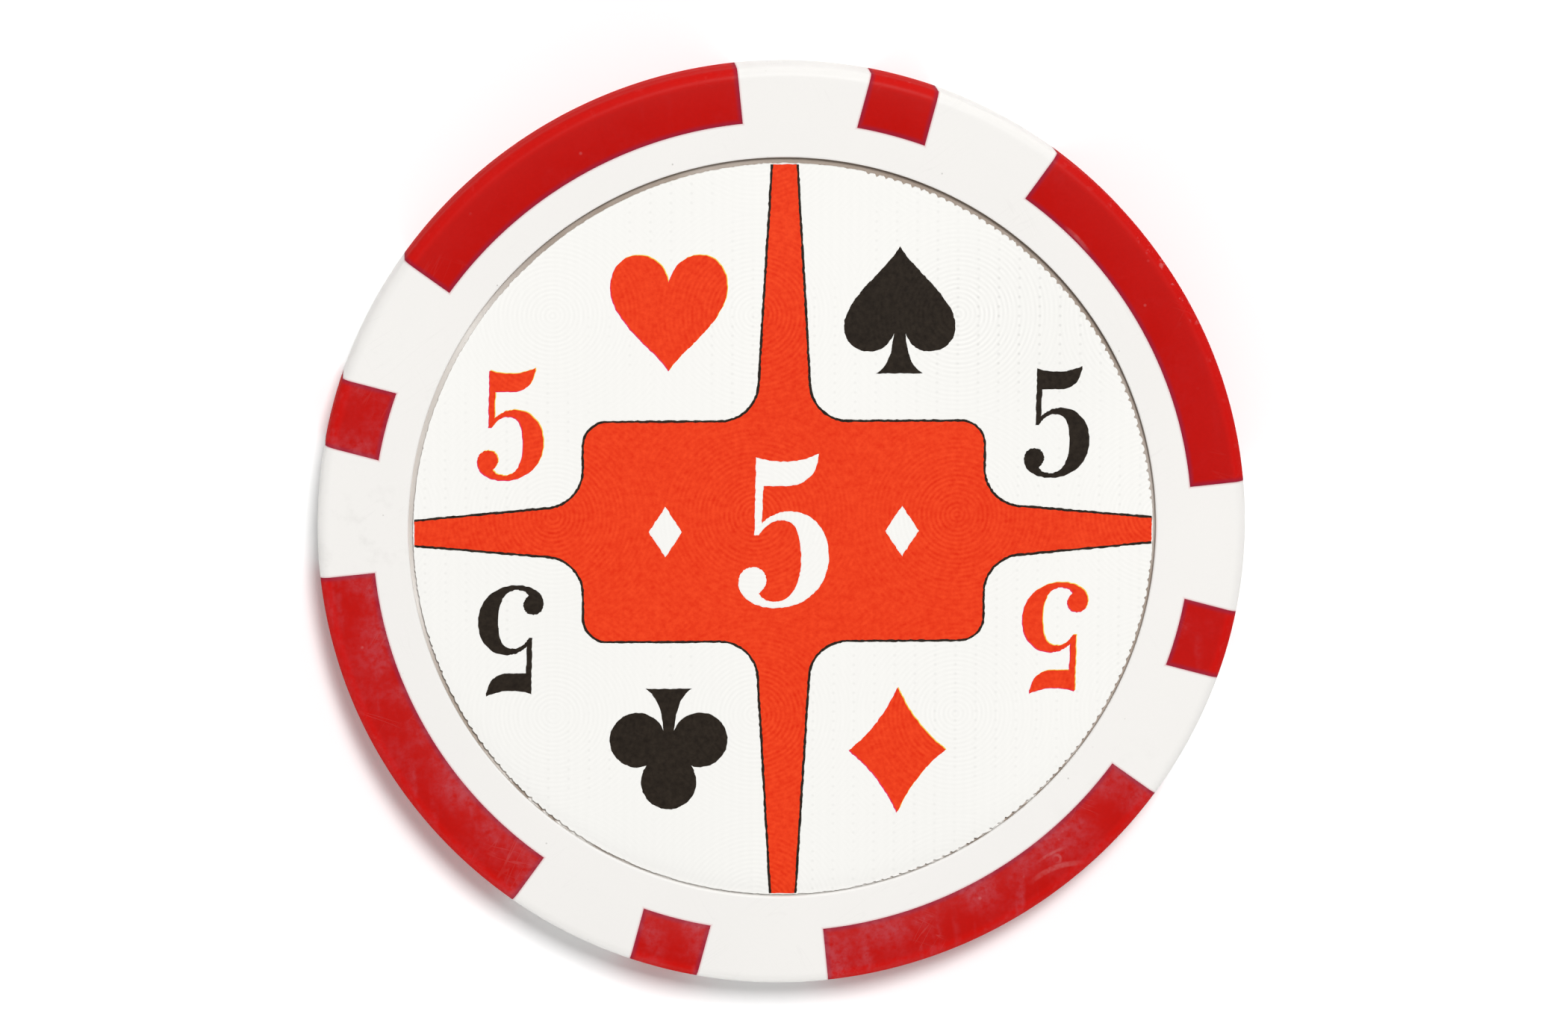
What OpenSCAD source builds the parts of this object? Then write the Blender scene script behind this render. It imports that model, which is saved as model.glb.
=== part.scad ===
// Poker chip: a weighted two-colour moulding with edge spots and a printed label in each face.
// The chip lies flat: Z is its axis, z = 0 is the lower rim face and the top of the print points to +Y.
// The white first shot is moulded round a steel weight. The red second shot fills the pockets in its
// rim: each insert wraps a tongue left at mid-thickness and grips it with posts through the tongue.

/* [Chip] */
// Diameter over the rim
chip_d = 40; // [38:0.5:44]
// Thickness over the two rim faces
chip_t = 3.3; // [3:0.1:4]
// Radius of the rounded outer edges
edge_r = 0.45; // [0.2:0.05:0.6]

/* [Edge inserts] */
// Radial width of the spots on the faces
spot_w = 2.36; // [2:0.02:2.8]
// Angle that a long spot spans, between radial ends
long_span = 48.4; // [30:0.2:54]
// Width of a short spot, between parallel sides
short_w = 3; // [2:0.1:4]
// Direction of the middle of the first long spot
first_spot = 30; // [0:1:89]
// Thickness of an insert over each face of the tongue
face_skin_t = 0.9; // [0.6:0.05:1.1]
// Thickness of an insert outside the tongue, at the rim
rim_skin_t = 0.9; // [0.6:0.05:1]
// Radius of the tongue's outer corners
tongue_edge_r = 0.2; // [0.05:0.05:0.4]
// Diameter of the posts that run through the tongue
post_d = 0.8; // [0.4:0.05:0.9]
// Number of posts in a long insert
long_posts = 4; // [1:1:6]

/* [Labels] */
// Width of the plain ring between the spots and the label recess
ring_w = 1.54; // [1:0.02:4]
// Thickness of the printed film
film_t = 0.15; // [0.08:0.01:0.25]
// Thickness of the adhesive
adhesive_t = 0.05; // [0.03:0.01:0.1]
// Set-back of the adhesive from the label's edge
adhesive_inset = 0.2; // [0:0.05:1]
// Gap round a label, between its edge and the recess wall
label_gap = 0.15; // [0.05:0.05:0.4]
// Drop from the rim face to the label's face
label_drop = 0.15; // [0.05:0.05:0.3]
// Radius of the rounded lip of the recess
lip_r = 0.1; // [0.05:0.01:0.15]

/* [Weight] */
// Set-back of the steel weight's edge from the recess wall
core_inset = 2.1; // [1:0.1:5]
// Thickness of the plastic over each face of the weight
web_t = 0.425; // [0.3:0.025:0.7]
// Radius of the weight's tumbled edges
core_edge_r = 0.2; // [0.1:0.05:0.4]
// Diameter of the holes left by the pins that held the weight in the mould
pin_d = 2.4; // [1.5:0.1:4]
// Set-back of these holes' centres from the weight's edge
pin_inset = 5; // [2.5:0.1:8]
// Number of these holes in each face
pin_count = 3; // [3:1:6]

/* [Hidden] */
$fn = 96;

chip_r = chip_d / 2;
spot_r = chip_r - spot_w;
spot_count = 4;
spot_pitch = 360 / spot_count;

tongue_r = chip_r - rim_skin_t;
tongue_t = chip_t - 2 * face_skin_t;
post_r = (spot_r + tongue_r) / 2;

recess_r = spot_r - ring_w;
recess_depth = label_drop + film_t + adhesive_t;
label_r = recess_r - label_gap;
adhesive_r = label_r - adhesive_inset;

core_r = recess_r - core_inset;
core_z = recess_depth + web_t;
core_t = chip_t - 2 * core_z;
pin_r = core_r - pin_inset;

// Overshoot of a cutting shape past the face that it opens
cut = 0.5;

long_names = [for (i = [1:spot_count]) str("long_edge_insert_", i)];
short_names = [for (i = [1:spot_count]) str("short_edge_insert_", i)];

// What is cut away to round a corner at the origin whose material lies towards +X and +Y
module corner_relief(r) {
    difference() {
        translate([-cut, -cut]) square(r + cut);
        translate([r, r]) circle(r);
    }
}

// Half section of a disc with rounded edges
module disc_section(r, t, edge) {
    difference() {
        square([r, t]);
        translate([r, 0]) rotate(90) corner_relief(edge);
        translate([r, t]) rotate(180) corner_relief(edge);
    }
}

// Half section of the lower label recess, with the relief of its lip
module recess_section() {
    translate([0, -cut]) square([recess_r, recess_depth + cut]);
    translate([recess_r, 0]) corner_relief(lip_r);
}

// Half section of the white disc before its rim is pocketed
module body_section() {
    difference() {
        disc_section(chip_r, chip_t, edge_r);
        recess_section();
        translate([0, chip_t]) mirror([0, 1]) recess_section();
    }
}

// Half section of an insert: the rim of the chip less the tongue
module insert_section() {
    difference() {
        disc_section(chip_r, chip_t, edge_r);
        translate([0, -cut]) square([spot_r, chip_t + 2 * cut]);
        translate([0, face_skin_t]) disc_section(tongue_r, tongue_t, tongue_edge_r);
    }
}

// A post along +X that ties the two face skins of an insert together through the tongue
module post() {
    translate([post_r, 0, face_skin_t / 2]) cylinder(d = post_d, h = tongue_t + face_skin_t);
}

module body_moulding() {
    color("ivory")
    difference() {
        rotate_extrude() body_section();
        core_weight();
        pin_holes();
        for (i = [0:spot_count - 1]) {
            long_edge_insert(i);
            short_edge_insert(i);
        }
    }
}

module pin_holes() {
    for (i = [0:pin_count - 1])
        rotate(i * 360 / pin_count)
        translate([pin_r, 0, -cut])
        cylinder(d = pin_d, h = chip_t + 2 * cut);
}

module core_weight() {
    color("silver")
    translate([0, 0, core_z])
    rotate_extrude() disc_section(core_r, core_t, core_edge_r);
}

module long_edge_insert(i) {
    color("firebrick")
    rotate(first_spot + i * spot_pitch) {
        rotate(-long_span / 2) rotate_extrude(angle = long_span) insert_section();
        for (k = [1:long_posts])
            rotate(long_span * ((k - 0.5) / long_posts - 0.5)) post();
    }
}

module short_edge_insert(i) {
    color("firebrick")
    rotate(first_spot + (i + 0.5) * spot_pitch) {
        intersection() {
            rotate_extrude() insert_section();
            translate([0, -short_w / 2, -cut]) cube([chip_r + cut, short_w, chip_t + 2 * cut]);
        }
        post();
    }
}

module label_film() {
    color("white") cylinder(r = label_r, h = film_t);
}

module label_adhesive() {
    color("wheat") cylinder(r = adhesive_r, h = adhesive_t);
}

module front_label() {
    translate([0, 0, chip_t - label_drop - film_t]) label_film();
}

module front_label_adhesive() {
    translate([0, 0, chip_t - recess_depth]) label_adhesive();
}

module back_label() {
    translate([0, 0, label_drop]) label_film();
}

module back_label_adhesive() {
    translate([0, 0, label_drop + film_t]) label_adhesive();
}

body_moulding();
core_weight();
for (i = [0:spot_count - 1]) {
    long_edge_insert(i);
    short_edge_insert(i);
}
front_label();
front_label_adhesive();
back_label();
back_label_adhesive();
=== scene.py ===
"""Dressed model of a weighted two-colour poker chip.

It has a white moulding, red edge inserts and a printed label in each face. Meshes are shaped in millimetres
and brought to metres as the last step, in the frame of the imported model.
"""

import logging
import math
import random
from contextlib import contextmanager
from dataclasses import dataclass
from enum import Enum
from functools import reduce
from typing import Any, Callable, Dict, Iterator, List, Optional, Sequence, Tuple, Union

import bmesh
import bpy
from mathutils import Matrix, Vector


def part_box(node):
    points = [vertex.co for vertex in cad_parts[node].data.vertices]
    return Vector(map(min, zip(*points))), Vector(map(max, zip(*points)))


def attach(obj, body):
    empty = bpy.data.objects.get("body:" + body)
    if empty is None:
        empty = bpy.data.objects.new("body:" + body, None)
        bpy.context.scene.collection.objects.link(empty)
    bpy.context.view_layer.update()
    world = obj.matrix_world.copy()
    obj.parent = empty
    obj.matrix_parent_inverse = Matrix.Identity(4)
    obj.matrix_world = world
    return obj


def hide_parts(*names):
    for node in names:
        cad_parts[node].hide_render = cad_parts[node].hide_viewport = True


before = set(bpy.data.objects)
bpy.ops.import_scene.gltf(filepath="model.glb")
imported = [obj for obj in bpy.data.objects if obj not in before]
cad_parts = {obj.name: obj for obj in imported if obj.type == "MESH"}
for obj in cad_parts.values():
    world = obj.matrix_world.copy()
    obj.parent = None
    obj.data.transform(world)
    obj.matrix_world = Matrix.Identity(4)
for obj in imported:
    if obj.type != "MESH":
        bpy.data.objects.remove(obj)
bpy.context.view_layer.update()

log = logging.getLogger("chip")

MM = 0.001
PLASTIC_IOR = 1.5
ROUND = 0.5
Point = Tuple[float, float]
Triple = Tuple[float, float, float]
Colour = Triple
Strokes = Tuple[Tuple[float, ...], ...]
Shape = List[Point]
Object = bpy.types.Object
Material = bpy.types.Material
Socket = bpy.types.NodeSocket


class Spot(Enum):
    """The two kinds of edge insert."""

    LONG = "long_edge_insert"
    SHORT = "short_edge_insert"


class Side(Enum):
    """The two faces of the chip."""

    FRONT = "front"
    BACK = "back"


class Pip(Enum):
    """The four traditional card suits."""

    SPADE = "spade"
    HEART = "heart"
    CLUB = "club"
    DIAMOND = "diamond"


class Ink(Enum):
    """The two inks of the figures."""

    RED = "red"
    BLACK = "black"


@dataclass(frozen=True)
class ChipSizes:
    """Sizes that the pieces share, in millimetres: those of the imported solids, then those of the moulding."""

    radius: float
    thick: float
    label_r: float
    label_top: float
    film_t: float
    core_r: float
    core_low: float
    recess_depth: float
    edge_r: float = 0.45
    spot_w: float = 2.36
    long_deg: float = 48.4
    short_w: float = 3.0
    first_deg: float = 30.0
    spot_count: int = 4
    label_gap: float = 0.15
    flash: Point = (0.06, 0.012)
    sides: int = 300
    edge_steps: int = 8

    @classmethod
    def measured(cls) -> "ChipSizes":
        """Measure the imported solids.

        Returns:
            The sizes.
        """
        (_, body), (under, film), (glue, _), (core, core_end) = (
            [[round(v / MM, 3) for v in corner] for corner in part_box(node)]
            for node in ("body_moulding", "front_label", "front_label_adhesive", "core_weight")
        )
        return cls(
            radius=round(body[0], 1),
            thick=body[2],
            label_r=film[0],
            label_top=film[2],
            film_t=film[2] - under[2],
            core_r=core_end[0],
            core_low=core[2],
            recess_depth=body[2] - glue[2],
        )

    @property
    def faces(self) -> Point:
        """Heights of the two rim faces."""
        return 0.0, self.thick

    @property
    def spot_r(self) -> float:
        """Inner radius of the spots."""
        return self.radius - self.spot_w

    @property
    def recess_r(self) -> float:
        """Radius of the label recess."""
        return self.label_r + self.label_gap

    @property
    def pitch_deg(self) -> float:
        """Angle from one spot to the next of its kind."""
        return 360.0 / self.spot_count


def linked(name: str, data: bpy.types.ID) -> Object:
    """Put a new object in the scene.

    Args:
        name: The object's name.
        data: What it holds: a mesh, a curve, a lamp or a camera.

    Returns:
        The object.
    """
    obj = bpy.data.objects.new(name, data)
    bpy.context.collection.objects.link(obj)
    return obj


class Bench:
    """One mesh on the bench, shaped in millimetres with Blender's own tools."""

    slack = 0.02
    smooth_deg = 35.0

    def __init__(self, name: str) -> None:
        """Take the active object, which has just been made, and put its place in its mesh.

        Args:
            name: The name that it gets.
        """
        self.obj = bpy.context.object
        self.obj.name = name
        self.obj.data.name = name
        self.settle()

    @classmethod
    def cylinder(cls, name: str, radius: float, low: float, high: float, sides: int) -> "Bench":
        """Add an upright cylinder about the chip's axis, between two heights."""
        bpy.ops.mesh.primitive_cylinder_add(
            vertices=sides, radius=radius, depth=high - low, location=(0, 0, (low + high) / 2)
        )
        return cls(name)

    @classmethod
    def disc(cls, name: str, radius: float, height: float, sides: int) -> "Bench":
        """Add a flat filled circle about the chip's axis, at a height."""
        bpy.ops.mesh.primitive_circle_add(
            vertices=sides, radius=radius, fill_type="NGON", location=(0, 0, height)
        )
        return cls(name)

    @classmethod
    def section(cls, name: str, inner: float, outer: float, low: float, high: float) -> "Bench":
        """Add an upright rectangle in the XZ plane, the half section of a ring.

        Args:
            name: The object's name.
            inner: Its inner radius.
            outer: Its outer radius.
            low: Height of its lower edge.
            high: Height of its upper edge.

        Returns:
            The bench that holds it.
        """
        bpy.ops.mesh.primitive_plane_add(
            size=1, location=((inner + outer) / 2, 0, (low + high) / 2), rotation=(math.pi / 2, 0, 0)
        )
        bpy.context.object.scale = (outer - inner, high - low, 1)
        return cls(name)

    @classmethod
    def flat_shape(cls, name: str, outlines: Sequence[Shape], low: float, high: float) -> "Bench":
        """Fill closed outlines and give them a thickness; an outline inside another is a hole.

        Args:
            name: The object's name.
            outlines: Points of each outline.
            low: Height of the lower face.
            high: Height of the upper face.

        Returns:
            The bench that holds it.
        """
        curve = bpy.data.curves.new(name, "CURVE")
        curve.dimensions, curve.fill_mode, curve.extrude = "2D", "BOTH", (high - low) / 2
        for outline in outlines:
            spline = curve.splines.new("POLY")
            spline.points.add(len(outline) - 1)
            for point, (x, y) in zip(spline.points, outline):
                point.co = (x, y, 0, 1)
            spline.use_cyclic_u = True
        cls.select(linked(name, curve))
        bpy.ops.object.convert(target="MESH")
        bpy.context.object.location.z = (low + high) / 2
        bench = cls(name)
        bench.close(1e-4)
        return bench

    @staticmethod
    def select(obj: Object) -> None:
        """Make an object the only selected one and the active one.

        Args:
            obj: The object.
        """
        bpy.ops.object.select_all(action="DESELECT")
        obj.select_set(True)
        bpy.context.view_layer.objects.active = obj

    def settle(self) -> "Bench":
        """Put the selected object's place, turn and scale in its mesh."""
        bpy.ops.object.transform_apply(location=True, rotation=True, scale=True)
        return self

    @contextmanager
    def editing(self, mode: str, start: str = "DESELECT") -> Iterator[None]:
        """Work in edit mode.

        Args:
            mode: Select mode: VERT, EDGE or FACE.
            start: Whether all is selected at first, or nothing: SELECT or DESELECT.

        Yields:
            Nothing, while the mesh is in edit mode.
        """
        self.select(self.obj)
        bpy.ops.object.mode_set(mode="EDIT")
        bpy.ops.mesh.select_mode(type=mode)
        bpy.ops.mesh.select_all(action=start)
        yield
        bpy.ops.object.mode_set(mode="OBJECT")

    def pick(self, kind: str, test: Callable[[Any], bool]) -> None:
        """Select the elements that pass a test, and no others, in edit mode.

        Args:
            kind: What is tested: verts, edges or faces.
            test: Takes an element of the edit mesh and says whether it is wanted.
        """
        bpy.ops.mesh.select_all(action="DESELECT")
        mesh = bmesh.from_edit_mesh(self.obj.data)
        elements = getattr(mesh, kind)
        elements.index_update()
        for element in [e for e in elements if test(e)]:
            element.select_set(True)
        mesh.select_flush_mode()
        bmesh.update_edit_mesh(self.obj.data)

    def on_ring(self, vert: Any, radius: float, height: float) -> bool:
        """Say whether a corner is at a radius and a height."""
        return abs(vert.co.xy.length - radius) < self.slack and abs(vert.co.z - height) < self.slack

    def round_rings(self, radius: float, heights: Sequence[float], offset: float, segments: int) -> None:
        """Round the edges that run round the axis at one radius.

        Args:
            radius: Radius of the edges.
            heights: Their heights.
            offset: Radius of the rounding.
            segments: Faces across the rounding.
        """
        with self.editing("EDGE"):
            for height in heights:
                self.pick("edges", lambda e: all(self.on_ring(v, radius, height) for v in e.verts))
                bpy.ops.mesh.bevel(offset=offset, segments=segments, profile=ROUND, affect="EDGES")

    def parting_line(self, chip: ChipSizes) -> None:
        """Raise the faint ridge that the mould's halves leave round the rim.

        Args:
            chip: The chip's sizes.
        """
        height, (half_width, rise) = chip.thick / 2, chip.flash
        with self.editing("VERT"):
            for level in (height - half_width, height, height + half_width):
                bpy.ops.mesh.select_all(action="SELECT")
                bpy.ops.mesh.bisect(plane_co=(0, 0, level), plane_no=(0, 0, 1))
            self.pick("verts", lambda v: self.on_ring(v, chip.radius, height))
            scale = 1 + rise / chip.radius
            bpy.ops.transform.resize(value=(scale, scale, 1), center_override=(0, 0, height))

    def close(self, merge: float = 1e-5) -> None:
        """Merge doubled corners and turn the faces outwards.

        Args:
            merge: Distance within which corners become one.
        """
        with self.editing("VERT", "SELECT"):
            bpy.ops.mesh.remove_doubles(threshold=merge)
            bpy.ops.mesh.normals_make_consistent(inside=False)

    def apply(self, kind: str, **settings: Any) -> None:
        """Add a modifier and apply it.

        Args:
            kind: The modifier's type.
            settings: The modifier's own settings.
        """
        self.select(self.obj)
        modifier = self.obj.modifiers.new(kind.lower(), kind)
        for key, value in settings.items():
            setattr(modifier, key, value)
        bpy.ops.object.modifier_apply(modifier=modifier.name)

    def cut(self, cutter: "Bench") -> None:
        """Cut another mesh's shape out of this one, which uses it up."""
        self.apply("BOOLEAN", object=cutter.obj, operation="DIFFERENCE", solver="EXACT")
        cutter.scrap()

    def scrap(self) -> None:
        """Throw the mesh away."""
        mesh = self.obj.data
        bpy.data.objects.remove(self.obj)
        bpy.data.meshes.remove(mesh)

    def copy(self, name: str) -> "Bench":
        """Copy the piece with a mesh of its own."""
        self.select(linked(name, self.obj.data.copy()))
        return Bench(name)

    def moved(self, matrix: Matrix) -> "Bench":
        """Move the piece by a matrix.

        Args:
            matrix: Where the frame's origin and axes go.

        Returns:
            This bench.
        """
        self.select(self.obj)
        self.obj.matrix_world = matrix
        return self.settle()

    def turn(self, degrees: float, axis: str = "Z", lift: float = 0.0) -> "Bench":
        """Turn the piece about an axis of the frame, then lift it."""
        turned = Matrix.Rotation(math.radians(degrees), 4, axis)
        return self.moved(Matrix.Translation((0, 0, lift)) @ turned)

    def slide(self, x: float, y: float) -> "Bench":
        """Move the piece level."""
        return self.moved(Matrix.Translation((x, y, 0)))

    def join(self, others: Sequence["Bench"]) -> "Bench":
        """Join other meshes into this one.

        Args:
            others: The meshes that are joined.

        Returns:
            This bench.
        """
        self.select(self.obj)
        for other in others:
            other.obj.select_set(True)
        bpy.ops.object.join()
        return self

    def finish(self, node: Optional[str], slot: str, finish: "Finish") -> Object:
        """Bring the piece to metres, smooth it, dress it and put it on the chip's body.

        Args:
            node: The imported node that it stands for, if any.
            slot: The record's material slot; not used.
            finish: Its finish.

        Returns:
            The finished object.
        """
        self.moved(Matrix.Scale(MM, 4))
        bpy.ops.object.shade_smooth_by_angle(angle=math.radians(self.smooth_deg))
        finish.dress(self.obj)
        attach(self.obj, "root")
        if node:
            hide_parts(node)
        return self.obj


Value = Union[float, "Num"]


def maths(operation: str, reflected: bool = False) -> Callable[["Num", Value], "Num"]:
    """Make a method of Num that adds a Math node with two inputs.

    Args:
        operation: The node's operation.
        reflected: Whether the other value comes first.

    Returns:
        The method.
    """

    def method(self: "Num", other: Value) -> "Num":
        """Work out the operation on this number and another value."""
        return self.math(operation, *((other, self) if reflected else (self, other)))

    return method


class Num:
    """A number in a node tree, for use in Python expressions."""

    def __init__(self, sheet: "NodeSheet", socket: Socket) -> None:
        """Wrap a socket of a sheet."""
        self.sheet = sheet
        self.socket = socket

    def math(self, operation: str, *values: Value) -> "Num":
        """Add a Math node and give its result."""
        node = self.sheet.node("ShaderNodeMath", {"operation": operation}, dict(enumerate(values)))
        return Num(self.sheet, node.outputs[0])

    __add__, __radd__ = maths("ADD"), maths("ADD", True)
    __sub__, __rsub__ = maths("SUBTRACT"), maths("SUBTRACT", True)
    __mul__, __rmul__ = maths("MULTIPLY"), maths("MULTIPLY", True)
    __pow__, __mod__ = maths("POWER"), maths("FLOORED_MODULO")
    low, high = maths("MINIMUM"), maths("MAXIMUM")

    def __abs__(self) -> "Num":
        """Absolute value."""
        return self.math("ABSOLUTE", self)

    def sin(self) -> "Num":
        """Sine of an angle in radians."""
        return self.math("SINE", self)

    def hypot(self, other: "Num") -> "Num":
        """Length of a line with this number and another as its sides."""
        return (self * self + other * other) ** 0.5

    def cell(self, pitch: float, shift: float = 0.0) -> "Num":
        """Place in a cell that repeats, counted from its middle."""
        return (self + (pitch / 2 + shift)) % pitch - pitch / 2

    def rise(self, start: float, end: float) -> "Num":
        """Go smoothly from 0 at start to 1 at end; start may be the greater.

        Args:
            start: Where it is 0.
            end: Where it is 1.

        Returns:
            The step.
        """
        low, high = min(start, end), max(start, end)
        first, last = (0.0, 1.0) if start < end else (1.0, 0.0)
        node = self.sheet.node(
            "ShaderNodeMapRange",
            {"interpolation_type": "SMOOTHSTEP"},
            {"Value": self, "From Min": low, "From Max": high, "To Min": first, "To Max": last},
        )
        return Num(self.sheet, node.outputs[0])


@dataclass(frozen=True)
class Patch:
    """A soft round patch of the face: its middle, the radius where it has faded away, and its strength."""

    x: float
    y: float
    reach: float
    strength: float = 1.0


@dataclass(frozen=True)
class Scratch:
    """A curved scratch: the circle that it follows, half its width and the patch that it shows in."""

    x: float
    y: float
    radius: float
    width: float
    patch: Patch


class NodeSheet:
    """The nodes of a material, in millimetres on the piece's own axes, or of the world, by direction.

    The core of a mark is the share of its reach within which it is at full strength.
    """

    speck_core = 0.35
    hair_core = 0.2
    patch_core = 0.2
    scratch_core = 0.3
    hair_scale = (0.16, 2.2)

    def __init__(
        self, owner: Union[Material, bpy.types.World], output: str = "Object", unit: float = MM
    ) -> None:
        """Start an empty tree with its coordinates.

        Args:
            owner: The material or world.
            output: Which of Texture Coordinate's outputs is read.
            unit: The length that counts as one.
        """
        self.owner = owner
        owner.use_nodes = True
        self.tree = owner.node_tree
        self.tree.nodes.clear()
        coordinates = self.node("ShaderNodeTexCoord")
        self.place = self.vector("SCALE", {0: coordinates.outputs[output], "Scale": 1 / unit})
        split = self.node("ShaderNodeSeparateXYZ", {}, {0: self.place})
        self.x, self.y, self.z = (Num(self, split.outputs[i]) for i in range(3))
        self.r = self.x.hypot(self.y)

    def node(
        self, kind: str, settings: Optional[Dict[str, Any]] = None, sockets: Optional[Dict[Any, Any]] = None
    ) -> bpy.types.Node:
        """Add any node.

        Args:
            kind: The node's type.
            settings: Its own settings, set first.
            sockets: Values or links of its inputs by name or number.

        Returns:
            The node.
        """
        made = self.tree.nodes.new(kind)
        for key, value in (settings or {}).items():
            setattr(made, key, value)
        for key, value in (sockets or {}).items():
            if isinstance(value, Num):
                value = value.socket
            if isinstance(value, Socket):
                self.tree.links.new(value, made.inputs[key])
            else:
                made.inputs[key].default_value = value
        return made

    def vector(self, operation: str, sockets: Dict[Any, Any]) -> Socket:
        """Add a Vector Math node and give the vector that comes out."""
        return self.node("ShaderNodeVectorMath", {"operation": operation}, sockets).outputs[0]

    def mix(self, share: Value, a: Any, b: Any) -> Socket:
        """Mix two colours.

        Args:
            share: How much of the second.
            a: First colour.
            b: Second colour.

        Returns:
            The colour that comes out.
        """
        first, second = ((*c, 1.0) if isinstance(c, tuple) else c for c in (a, b))
        settings = {"data_type": "RGBA", "blend_type": "MIX", "clamp_factor": True}
        return self.node("ShaderNodeMix", settings, {0: share, 6: first, 7: second}).outputs[2]

    def tint(self, colour: Any, level: Num) -> Socket:
        """Multiply a colour by a number."""
        grey = self.node("ShaderNodeCombineXYZ", {}, {0: level, 1: level, 2: level})
        return self.vector("MULTIPLY", {0: colour, 1: grey.outputs[0]})

    def stretched(self, turn: float, along: float, across: float, shift: float = 0.0) -> Socket:
        """Turn the coordinates about the chip's axis and stretch them, for marks that run one way.

        Args:
            turn: Direction of the marks in degrees.
            along: Scale along the marks.
            across: Scale across them.
            shift: Offset that moves the pattern.

        Returns:
            The coordinates.
        """
        made = self.node(
            "ShaderNodeMapping",
            {"vector_type": "TEXTURE"},
            {
                "Vector": self.place,
                "Location": (shift, shift * 0.7, 0.0),
                "Rotation": (0.0, 0.0, math.radians(turn)),
                "Scale": (1 / along, 1 / across, 1 / along),
            },
        )
        return made.outputs[0]

    def noise(self, scale: float, detail: float = 2.0, rough: float = 0.5, at: Any = None) -> Num:
        """Smooth noise from 0 to 1.

        Args:
            scale: Cycles in a millimetre.
            detail: Number of finer layers.
            rough: Strength of the finer layers.
            at: Coordinates, if not the piece's own.

        Returns:
            The noise.
        """
        place = self.place if at is None else at
        sockets = {"Vector": place, "Scale": scale, "Detail": detail, "Roughness": rough}
        made = self.node("ShaderNodeTexNoise", {"noise_dimensions": "3D"}, sockets)
        return Num(self, made.outputs[0])

    def specks(self, density: float, radius: float) -> Num:
        """Sparse round specks, 1 at their middle.

        Args:
            density: Cells in a millimetre.
            radius: A speck's radius.

        Returns:
            The specks.
        """
        sockets = {"Vector": self.place, "Scale": density, "Randomness": 1.0}
        made = self.node("ShaderNodeTexVoronoi", {"feature": "F1"}, sockets)
        return Num(self, made.outputs[0]).rise(radius * density, radius * density * self.speck_core)

    def hairs(self, turn: float, shift: float, width: float) -> Num:
        """Fine hairline marks that run about one way, as narrow stretches of a drawn-out noise."""
        wave = self.noise(1.0, 1.0, 0.4, self.stretched(turn, *self.hair_scale, shift))
        return abs(wave - 0.5).rise(width, width * self.hair_core)

    def away(self, x: float, y: float) -> Num:
        """Distance from a point of the face."""
        return (self.x - x).hypot(self.y - y)

    def patch(self, patch: Patch) -> Num:
        """A soft patch, strongest at its middle."""
        away = self.away(patch.x, patch.y)
        return away.rise(patch.reach, patch.reach * self.patch_core) * patch.strength

    def patches(self, patches: Sequence[Patch]) -> Num:
        """Soft patches, of which the strongest counts."""
        return reduce(Num.high, [self.patch(p) for p in patches])

    def scratch(self, mark: Scratch) -> Num:
        """A curved scratch, which fades towards its ends."""
        off = abs(self.away(mark.x, mark.y) - mark.radius)
        return off.rise(mark.width, mark.width * self.scratch_core) * self.patch(mark.patch)

    def bump(self, height: Num, depth: float) -> Socket:
        """Turn a height from 0 to 1 into a normal, for a relief of a depth in millimetres."""
        sockets = {"Strength": 1.0, "Distance": depth * MM, "Height": height}
        return self.node("ShaderNodeBump", {}, sockets).outputs[0]

    def shade(self, **sockets: Any) -> Material:
        """Close the sheet with a Principled shader.

        Args:
            sockets: Its inputs, with underscores for the spaces in their names.

        Returns:
            The material.
        """
        inputs = {key.replace("_", " "): value for key, value in sockets.items()}
        shader = self.node("ShaderNodeBsdfPrincipled", {}, inputs)
        self.node("ShaderNodeOutputMaterial", {}, {"Surface": shader.outputs[0]})
        return self.owner


@dataclass(frozen=True)
class Finish:
    """A finish that makes its material once and then shares it."""

    name: str

    def dress(self, obj: Object) -> None:
        """Give an object this finish alone."""
        obj.data.materials.clear()
        obj.data.materials.append(self.material())

    def material(self) -> Material:
        """The finish's material."""
        return bpy.data.materials.get(self.name) or self.mixed(NodeSheet(bpy.data.materials.new(self.name)))

    def mixed(self, sheet: NodeSheet) -> Material:
        """Mix the finish on an empty sheet."""
        raise NotImplementedError


@dataclass(frozen=True)
class SpottedFinish(Finish):
    """A finish that knows where the edge spots are."""

    chip: ChipSizes

    def edge_distance(self, sheet: NodeSheet) -> Num:
        """Distance into a spot from its nearest side, in millimetres, and less than 0 outside it.

        Args:
            sheet: The sheet that it is worked out on.

        Returns:
            The distance.
        """
        chip, pitch = self.chip, math.radians(self.chip.pitch_deg)
        angle = sheet.y.math("ARCTAN2", sheet.y, sheet.x)
        fold = abs((angle - math.radians(chip.first_deg)).cell(pitch))
        end = sheet.r * (math.radians(chip.long_deg / 2) - fold).sin()
        side = chip.short_w / 2 - sheet.r * (pitch / 2 - fold).sin()
        return (sheet.r - chip.spot_r).low(end.high(side))


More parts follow.
